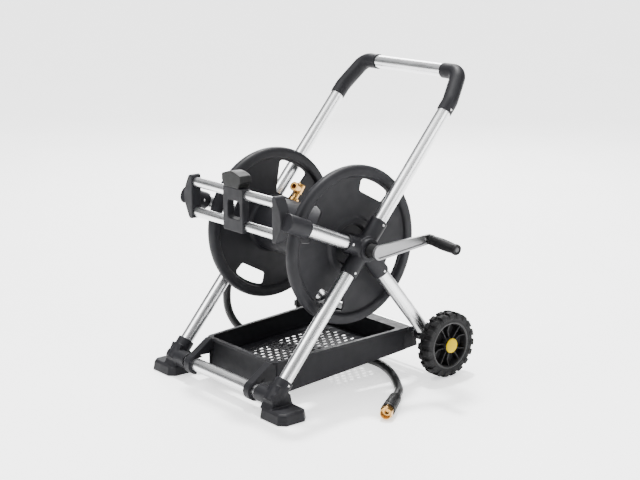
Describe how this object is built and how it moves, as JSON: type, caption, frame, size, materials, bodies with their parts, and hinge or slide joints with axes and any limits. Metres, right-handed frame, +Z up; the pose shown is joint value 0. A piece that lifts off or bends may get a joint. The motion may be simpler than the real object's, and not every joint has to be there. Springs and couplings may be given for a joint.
{
  "type": "garden hose reel cart",
  "caption": "Wheeled tube-frame cart with a cranked hose reel, a sliding hose guide on rails, a slung tray and a leader hose.",
  "frame": {"origin": "on the floor, under the middle of the cart's own box, the leader hose and its end fitting left out", "axes": "+X towards the crank side, along the reel's axle; +Y from the feet towards the wheels and the handle; +Z up"},
  "size_m": [0.7685, 0.7496, 0.876],
  "materials": {
    "tube_aluminium": "satin anodised",
    "charcoal_plastic": "fine moulded texture",
    "knob_plastic": "smooth matte",
    "black_plastic": "smooth",
    "bush_plastic": "smooth bearing plastic",
    "yellow_plastic": "semi-gloss",
    "tyre_rubber": "matte rubber",
    "grip_rubber": "soft matte",
    "bright_steel": "zinc plated",
    "cast_arm": "cast and satin polished",
    "brass": "turned, slightly dull",
    "hose_rubber": "slightly glossy"
  },
  "bodies": {
    "frame": {"handle_tube_right": "tube_aluminium", "handle_tube_left": "tube_aluminium", "front_leg_right": "tube_aluminium", "front_leg_left": "tube_aluminium", "rear_leg_right": "tube_aluminium", "rear_leg_left": "tube_aluminium", "guide_arm_right": "tube_aluminium", "guide_arm_left": "tube_aluminium", "handle_crossbar": "tube_aluminium", "front_cross_tube": "tube_aluminium", "rear_cross_tube": "tube_aluminium", "guide_rail_upper": "tube_aluminium", "guide_rail_lower": "tube_aluminium", "hub_bracket_right": "charcoal_plastic", "hub_bracket_left": "charcoal_plastic", "foot_right": "charcoal_plastic", "foot_left": "charcoal_plastic", "axle_bracket_right": "charcoal_plastic", "axle_bracket_left": "charcoal_plastic", "guide_bracket_right": "charcoal_plastic", "guide_bracket_left": "charcoal_plastic", "handle_elbow_right": "charcoal_plastic", "handle_elbow_left": "charcoal_plastic", "tray": "charcoal_plastic", "tray_mesh": "charcoal_plastic", "axle_bush_right": "bush_plastic", "axle_bush_left": "bush_plastic", "wheel_axle": "bright_steel", "wheel_washer_right": "bright_steel", "wheel_washer_left": "bright_steel", "hub_screws": "bright_steel", "foot_screws": "bright_steel", "elbow_screws": "bright_steel", "guide_screws": "bright_steel", "inlet_swivel": "brass", "hose_end_fitting": "brass", "leader_hose": "hose_rubber", "hose_end_sleeve": "hose_rubber", "inlet_ferrule": "hose_rubber", "inlet_seal": "hose_rubber"},
    "reel": {"reel_flange_right": "charcoal_plastic", "reel_flange_left": "charcoal_plastic", "reel_drum": "charcoal_plastic", "reel_axle": "bright_steel", "outlet_elbow": "brass", "crank_boss": "black_plastic", "crank_arm": "cast_arm", "grip_spindle": "bright_steel"},
    "crank_grip": {"crank_grip": "grip_rubber"},
    "guide_carriage": {"guide_carriage": "charcoal_plastic", "guide_knob": "knob_plastic"},
    "wheel_right": {"tyre_right": "tyre_rubber", "wheel_rim_right": "charcoal_plastic", "hub_cap_right": "yellow_plastic"},
    "wheel_left": {"tyre_left": "tyre_rubber", "wheel_rim_left": "charcoal_plastic", "hub_cap_left": "yellow_plastic"}
  },
  "joints": [
    {"name": "reel_spin", "type": "hinge", "parent": "frame", "child": "reel", "pos_m": [-0.0487, -0.0273, 0.409], "axis": [1, 0, 0], "continuous": true},
    {"name": "grip_spin", "type": "hinge", "parent": "reel", "child": "crank_grip", "pos_m": [0.2458, 0.15438, 0.41979], "axis": [0.9957, 0, -0.0924], "continuous": true},
    {"name": "guide_slide", "type": "slide", "parent": "frame", "child": "guide_carriage", "axis": [1, 0, 0], "range_m": [-0.149, 0.125]},
    {"name": "wheel_right_spin", "type": "hinge", "parent": "frame", "child": "wheel_right", "pos_m": [0.2313, 0.2461, 0.095], "axis": [1, 0, 0], "continuous": true},
    {"name": "wheel_left_spin", "type": "hinge", "parent": "frame", "child": "wheel_left", "pos_m": [-0.3287, 0.2461, 0.095], "axis": [1, 0, 0], "continuous": true}
  ]
}
